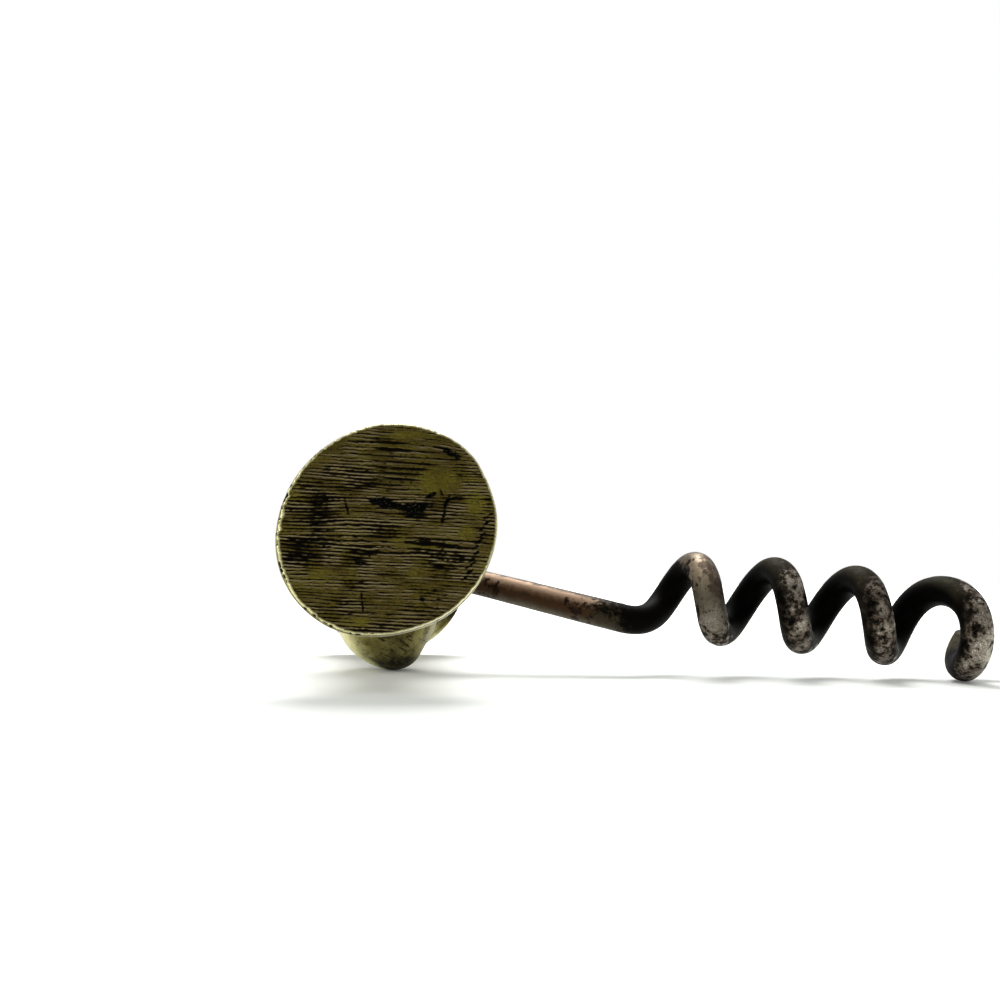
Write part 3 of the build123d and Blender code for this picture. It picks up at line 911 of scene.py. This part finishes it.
def wire_tree():
    """Nodes that bend the wire, in the worm's frame in millimetres: tapered shank, bend, right-hand coil."""
    tree = bpy.data.node_groups.new("wire_worm", "GeometryNodeTree")
    tree.is_modifier = True
    sizes = {
        "Wire radius": wire_r, "Tang radius": tang_r, "Coil radius": coil_radius, "Coil pitch": coil_pitch,
        "First turn": coil_first, "Last turn": coil_last, "Coil start": shank_reach + bend_length,
        "Lean": lean_length, "Bow": coil_bow, "Opening turn": end_turn, "Opening length": end_blend,
        "Opening spread": end_spread, "Swing": swing_length, "Unevenness": 0.07,
    }
    places = {
        "Shank start": shank_dir * -rove_end, "Bend start": bend_start,
        "Bend first handle": bend_start + shank_dir * bend_handle,
        "Bend second handle": coil_point(coil_first) - coil_heading(coil_first) * bend_handle,
        "Bend end": coil_point(coil_first),
    }
    counts = {"Coil steps": coil_steps, "Wire sides": wire_sides}
    tree.interface.new_socket("Wire", in_out="OUTPUT", socket_type="NodeSocketGeometry")
    values = {}
    for group, kind in (
        (sizes, "NodeSocketFloat"), (places, "NodeSocketVector"), (counts, "NodeSocketInt"),
        ({"Finish": worm_finish}, "NodeSocketMaterial"),
    ):
        for name, value in group.items():
            socket = tree.interface.new_socket(name, in_out="INPUT", socket_type=kind)
            values[socket.identifier] = value
    given = tree.nodes.new("NodeGroupInput").outputs
    add = partial(add_node, tree)

    def size(name):
        return Number(tree, given[name])

    def evenly(curve, count):
        """A curve with this many points along it."""
        return add("GeometryNodeResampleCurve", {"mode": "COUNT"}, Curve=curve.outputs[0], Count=count)

    def points_of(curve, order):
        """Points along a curve, each with its place in the wire's order."""
        kept = add(
            "GeometryNodeStoreNamedAttribute", {"data_type": "FLOAT", "domain": "POINT"},
            Geometry=curve.outputs[0], Name="along", Value=order,
        )
        points = add("GeometryNodeCurveToPoints", {"mode": "EVALUATED"}, Curve=kept.outputs[0])
        return points.outputs["Points"]

    def factor():
        return Number(tree, add("GeometryNodeSplineParameter").outputs["Factor"])

    # Shank, from behind the rove to just before the bend
    shank = add("GeometryNodeCurvePrimitiveLine", Start=given["Shank start"], End=given["Bend start"])
    shank_points = points_of(evenly(shank, shank_steps), factor() * shank_last)
    # Bend
    bend = add(
        "GeometryNodeCurvePrimitiveBezierSegment", {"mode": "POSITION"}, Resolution=48,
        Start=given["Bend start"], Start_Handle=given["Bend first handle"],
        End_Handle=given["Bend second handle"], End=given["Bend end"],
    )
    bend_points = points_of(evenly(bend, bend_steps), factor() + 1.0)
    # Coil, by its rule
    index = Number(tree, add("GeometryNodeInputIndex").outputs[0])
    share = (index + 1) / size("Coil steps")
    turn = share * (size("Last turn") - size("First turn")) + size("First turn")
    angle = turn * (2 * pi)
    opened = ((turn - size("Opening turn")) / size("Opening length")).step(0.0, 1.0)
    radius = size("Coil radius") + size("Opening spread") * opened
    ahead = turn / size("Last turn")
    rise = size("Bow") * ahead * (ahead * -1 + 1) * 4
    lean = size("Lean") * angle.math("COSINE") * (opened + 1)
    swing = size("Swing") * angle.math("SINE") * opened
    advance = size("Coil start") + size("Coil pitch") * turn + lean + swing
    up, front = radius * angle.math("COSINE") + rise, radius * angle.math("SINE")
    wound = add("ShaderNodeCombineXYZ", X=up, Y=front, Z=advance)
    straight = evenly(add("GeometryNodeCurvePrimitiveLine"), given["Coil steps"])
    coil = add("GeometryNodeSetPosition", Geometry=straight.outputs[0], Position=wound.outputs[0])
    coil_points = points_of(coil, share + 2.0)
    # One unbroken wire
    joined = add("GeometryNodeJoinGeometry")
    for points in (coil_points, bend_points, shank_points):
        tree.links.new(points, joined.inputs[0])
    order = add("GeometryNodeInputNamedAttribute", {"data_type": "FLOAT"}, Name="along")
    wire = add("GeometryNodePointsToCurves", Points=joined.outputs[0], Weight=order.outputs[0])
    along = Number(tree, order.outputs[0])
    thickness = size("Tang radius") + (size("Wire radius") - size("Tang radius")) * along.step(0.28, 1.0)
    section = add(
        "GeometryNodeCurvePrimitiveCircle", {"mode": "RADIUS"}, Resolution=given["Wire sides"], Radius=1.0,
    )
    tube = add(
        "GeometryNodeCurveToMesh", Curve=wire.outputs[0], Profile_Curve=section.outputs[0],
        Scale=thickness, Fill_Caps=True,
    )
    # Hand-forged unevenness, always inwards
    place = add("GeometryNodeInputPosition").outputs[0]
    coarse = Number(tree, add("ShaderNodeTexNoise", Vector=place, Scale=0.45, Detail=1.0).outputs[0])
    fine = Number(tree, add("ShaderNodeTexNoise", Vector=place, Scale=2.4, Detail=2.0).outputs[0])
    dent = (coarse * 0.7 + fine * 0.3 - 1.0) * size("Unevenness") * along.step(0.3, 0.5)
    normal = add("GeometryNodeInputNormal").outputs[0]
    push = add("ShaderNodeVectorMath", {"operation": "SCALE"}, Vector=normal, Scale=dent)
    tube = add("GeometryNodeSetPosition", Geometry=tube.outputs[0], Offset=push.outputs[0])
    solid = add("GeometryNodeRealizeInstances", Geometry=tube.outputs[0])
    solid = add("GeometryNodeSetMaterial", Geometry=solid.outputs[0], Material=given["Finish"])
    tree.links.new(solid.outputs[0], tree.nodes.new("NodeGroupOutput").inputs[0])
    return tree, values


def mark_wire(mesh):
    """Marks how far the wire's skin is on the coil's outside, faces the point, and lies on top of a turn."""
    points = np.zeros(len(mesh.vertices) * 3)
    mesh.vertices.foreach_get("co", points)
    along = np.zeros(len(mesh.vertices))
    mesh.attributes["along"].data.foreach_get("value", along)
    rings = points.reshape(-1, wire_sides, 3)
    middles = rings.mean(axis=1, keepdims=True)
    away = rings - middles
    away /= np.linalg.norm(away, axis=2, keepdims=True)
    from_axis = middles * (1, 1, 0)
    from_axis /= np.maximum(np.linalg.norm(from_axis, axis=2, keepdims=True), 1e-6)
    outer = (away * from_axis).sum(axis=2)
    tops = step(0.5, 1.0, from_axis[:, :, 0]) * step(2.15, 2.3, along.reshape(-1, wire_sides)[:, :1])
    # The crest mark places a painted sheen on the outward tops of the turns
    crest_sheen = tops * step(0.0, 0.9, outer)
    set_marks(mesh, {"outer": outer - 0.6 * tops, "lead": away[:, :, 2], "crest_sheen": crest_sheen})


def grind_point(work):
    """Grinds the wire's end to one facet, from the inside of the coil and from the handle's side."""
    point, heading = coil_point(coil_last), coil_heading(coil_last)
    inward = coil_point(coil_last - 0.5) - point
    inward = (inward - heading * inward.dot(heading)).normalized()
    ground = inward * cos(point_roll) + inward.cross(heading) * sin(point_roll)
    facet = point - heading * (wire_r / tan(point_angle))
    facet_out = heading * sin(point_angle) + ground * cos(point_angle)

    order = work.verts.layers.float["along"]
    tip = [vertex for vertex in work.verts if vertex[order] > tip_start]
    tip_faces = [face for face in work.faces if all(vertex[order] > tip_start for vertex in face.verts)]
    tip_edges = list(dict.fromkeys(edge for face in tip_faces for edge in face.edges))
    tip += tip_edges + tip_faces
    bmesh.ops.bisect_plane(work, geom=tip, plane_co=facet, plane_no=facet_out, clear_outer=True)

    # Rings of points close the cut, a little sunk
    open_edges = [edge for edge in work.edges if edge.is_boundary]
    facet_rim = list(open_edges[0].verts)
    while len(facet_rim) < len(open_edges):
        facet_rim += [
            edge.other_vert(facet_rim[-1]) for edge in facet_rim[-1].link_edges
            if edge.is_boundary and edge.other_vert(facet_rim[-1]) is not facet_rim[-2]
        ]
    middle = sum((vertex.co for vertex in facet_rim), Vector()) / len(facet_rim)
    outer_ring = facet_rim
    for reach, sunk in ((0.93, 0.0), (0.86, 0.012), (0.5, 0.03)):
        places = [middle.lerp(vertex.co, reach) - facet_out * sunk for vertex in facet_rim]
        inner_ring = [work.verts.new(place) for place in places]
        for index, vertex in enumerate(inner_ring):
            vertex[order] = facet_mark
            work.faces.new((outer_ring[index - 1], outer_ring[index], vertex, inner_ring[index - 1]))
        outer_ring = inner_ring
    work.faces.new(outer_ring)


def peen_head(work):
    """Adds the shank's peened head behind the rove."""
    spokes, rings = 64, 10
    shells = []
    for ring in range(rings):
        share = ring / rings
        shell = []
        for spoke in range(spokes):
            angle = 2 * pi * spoke / spokes
            struck = 1 - 0.03 * (1 + sin(3 * angle + 1) * 0.5 + sin(5 * angle) * 0.3)
            radius = head_r * sqrt(1 - share**2) * struck
            height = head_h * share * (0.94 + 0.04 * sin(2 * angle + ring))
            place = Vector((radius * cos(angle), radius * sin(angle), -rove_end - height))
            shell.append(work.verts.new(shank_turn @ place))
        shells.append(shell)
    crown = work.verts.new(shank_turn @ Vector((0, 0, -rove_end - head_h * 0.97)))
    middle = work.verts.new(shank_turn @ Vector((0, 0, -rove_end)))
    for spoke in range(spokes):
        after = (spoke + 1) % spokes
        for low, high in zip(shells, shells[1:]):
            work.faces.new((low[spoke], low[after], high[after], high[spoke]))
        work.faces.new((shells[-1][spoke], shells[-1][after], crown))
        work.faces.new((middle, shells[0][after], shells[0][spoke]))


def wire_worm():
    """The worm: one wire from the peened head behind the rove to the ground point."""
    tree, values = wire_tree()
    blank = bpy.data.objects.new("wire_blank", bpy.data.meshes.new("wire_blank"))
    scene.collection.objects.link(blank)
    bending = blank.modifiers.new("bending", "NODES")
    bending.node_group = tree
    for identifier, value in values.items():
        bending[identifier] = value
    mesh = bpy.data.meshes.new_from_object(blank.evaluated_get(bpy.context.evaluated_depsgraph_get()))
    bpy.data.objects.remove(blank)
    mark_wire(mesh)
    work = bmesh.new()
    work.from_mesh(mesh)
    grind_point(work)
    peen_head(work)
    bmesh.ops.recalc_face_normals(work, faces=work.faces)
    work.to_mesh(mesh)
    work.free()
    mesh.transform(lay_down @ worm_lie.to_4x4())
    return new_piece("wire_worm", mesh, worm_finish, "worm_steel", "worm")


wire_worm()

# Pieces that stay inside the handle keep their CAD shape
for node, finish in (("cross_bar", handle_finish), ("shank_pin", pin_finish)):
    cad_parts[node].data.materials.clear()
    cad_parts[node].data.materials.append(finish)


# Table, light and camera

def white_table():
    """A white table top: it keeps the shadows, and is lifted to white for what looks at it."""
    mesh = bpy.data.meshes.new("table_top")
    far = 6.0
    mesh.from_pydata([(-far, -far, 0), (far, -far, 0), (far, far, 0), (-far, far, 0)], [], [(0, 1, 2, 3)])
    finish = Finish("white_table_top")
    speckle = finish.grain(3.0)
    path = finish.add("ShaderNodeLightPath").outputs
    seen = Number(finish.tree, path["Is Camera Ray"]).math("MAXIMUM", path["Is Glossy Ray"])
    seen = seen.math("MAXIMUM", path["Is Transmission Ray"])
    reach = finish.add("ShaderNodeVectorMath", {"operation": "LENGTH"}, Vector=finish.place)
    away = Number(finish.tree, reach.outputs["Value"]).step(0.09, 0.3)
    finish.set(
        Base_Color=finish.blend(speckle, (0.86, 0.87, 0.83), (0.88, 0.89, 0.85)),
        Roughness=0.55,
        Specular_IOR_Level=0.25,
        Emission_Color=(1.0, 1.0, 0.985, 1.0),
        Emission_Strength=seen * (away * 0.9 + 0.05),
    )
    mesh.materials.append(finish.material)
    table = bpy.data.objects.new("table_top", mesh)
    scene.collection.objects.link(table)


def studio_world():
    """White all round for the camera and for reflections behind the object; softer from the camera's side."""
    world = bpy.data.worlds.new("studio")
    world.use_nodes = True
    tree = world.node_tree
    tree.nodes.clear()
    direction = add_node(tree, "ShaderNodeTexCoord").outputs["Generated"]
    apart = add_node(tree, "ShaderNodeSeparateXYZ", Vector=direction).outputs
    back, above = Number(tree, apart["Y"]), Number(tree, apart["Z"])
    level = back.step(-0.75, 0.35) * 0.36 + above.step(0.15, 0.95) * 0.3 + 0.34
    path = add_node(tree, "ShaderNodeLightPath").outputs
    mirrored = Number(tree, path["Is Glossy Ray"]).math("MAXIMUM", path["Is Transmission Ray"])
    seen = Number(tree, path["Is Camera Ray"]).math("MAXIMUM", mirrored * back.step(-0.1, 0.3))
    lit = add_node(tree, "ShaderNodeBackground", Color=(0.98, 1.0, 1.0, 1.0), Strength=level)
    white = add_node(tree, "ShaderNodeBackground", Color=(1.0, 1.0, 1.0, 1.0), Strength=1.0)
    mixed = add_node(tree, "ShaderNodeMixShader")
    for socket, value in zip(mixed.inputs, (seen, lit.outputs[0], white.outputs[0])):
        feed(tree, socket, value)
    add_node(tree, "ShaderNodeOutputWorld", Surface=mixed.outputs[0])
    scene.world = world


def soft_light(name, place, aim, width, depth, power):
    """A soft box of this width and depth in metres, turned to what it lights."""
    lamp = bpy.data.lights.new(name, "AREA")
    lamp.shape, lamp.size, lamp.size_y, lamp.energy = "RECTANGLE", width, depth, power
    light = bpy.data.objects.new(name, lamp)
    light.location = place
    light.rotation_euler = (Vector(aim) - Vector(place)).to_track_quat("-Z", "Y").to_euler()
    scene.collection.objects.link(light)


def photo_camera():
    """The camera, where the photograph was taken from."""
    lens = bpy.data.cameras.new("camera")
    lens.lens = 36
    lens.sensor_width = 36
    lens.clip_start = 0.005
    camera = bpy.data.objects.new("camera", lens)
    place = Vector((-25.1485, -114.2704, 10.0242)) * millimetre
    right = Vector((0.99592, -0.08986, 0.00805))
    up = Vector((-0.01523, -0.07945, 0.99672))
    turn = Matrix((right, up, right.cross(up))).transposed()
    camera.matrix_world = Matrix.Translation(place) @ turn.to_4x4()
    scene.collection.objects.link(camera)
    scene.camera = camera


white_table()
studio_world()
soft_light("overhead_softbox", (-0.01, 0.21, 0.38), (0, 0, 0), 0.26, 0.2, 1.9)
soft_light("left_softbox", (-0.40, -0.02, 0.16), (-0.02, 0, 0.01), 0.25, 0.25, 0.5)
photo_camera()
scene.view_settings.view_transform = "Standard"
